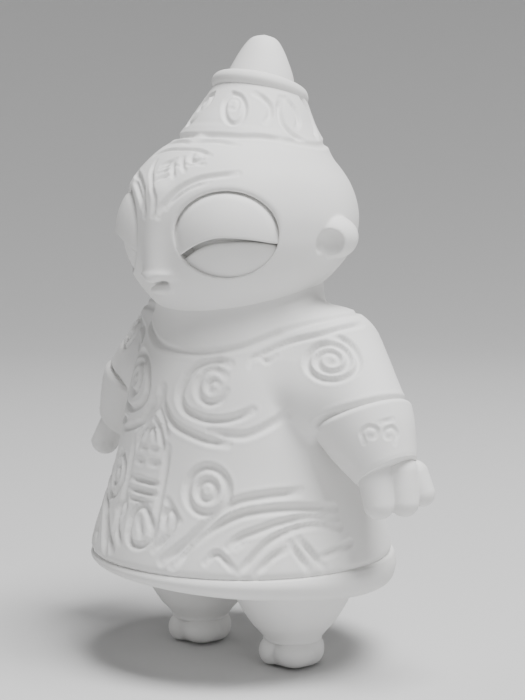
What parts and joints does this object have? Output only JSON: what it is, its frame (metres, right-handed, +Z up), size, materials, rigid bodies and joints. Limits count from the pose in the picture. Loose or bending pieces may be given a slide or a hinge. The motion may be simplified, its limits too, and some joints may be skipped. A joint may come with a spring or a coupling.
{
  "type": "standing clay-style doll figure",
  "caption": "Standing goggle-eyed doll figure with a conical headdress, bell skirt, short arms and round feet, covered in carved scrolls; its head turns on a hidden neck pin.",
  "frame": {"origin": "on the ground, at the middle of the figure's outline seen from above", "axes": "+Z up, the doll faces -Y and its left side is +X"},
  "size_m": [0.1434, 0.1012, 0.2003],
  "materials": {
    "casting": "matte",
    "pin": "matte"
  },
  "bodies": {
    "body": {"torso_shell": "casting", "hem_band": "casting", "base_plate": "casting", "neck_pin": "pin", "left_sleeve": "casting", "right_sleeve": "casting", "left_cuff": "casting", "right_cuff": "casting", "left_hand": "casting", "right_hand": "casting", "left_arm_pin": "pin", "right_arm_pin": "pin", "left_leg": "casting", "right_leg": "casting", "left_foot": "casting", "right_foot": "casting", "left_leg_pin": "pin", "right_leg_pin": "pin"},
    "head": {"head_shell": "casting", "crown": "casting", "crown_ring": "casting", "crown_cone": "casting", "left_upper_eyelid": "casting", "right_upper_eyelid": "casting", "left_lower_eyelid": "casting", "right_lower_eyelid": "casting", "left_ear": "casting", "right_ear": "casting"}
  },
  "joints": [
    {"name": "neck_swivel", "type": "hinge", "parent": "body", "child": "head", "pos_m": [0, 0, 0.116], "axis": [0, 0, 1], "continuous": true}
  ]
}
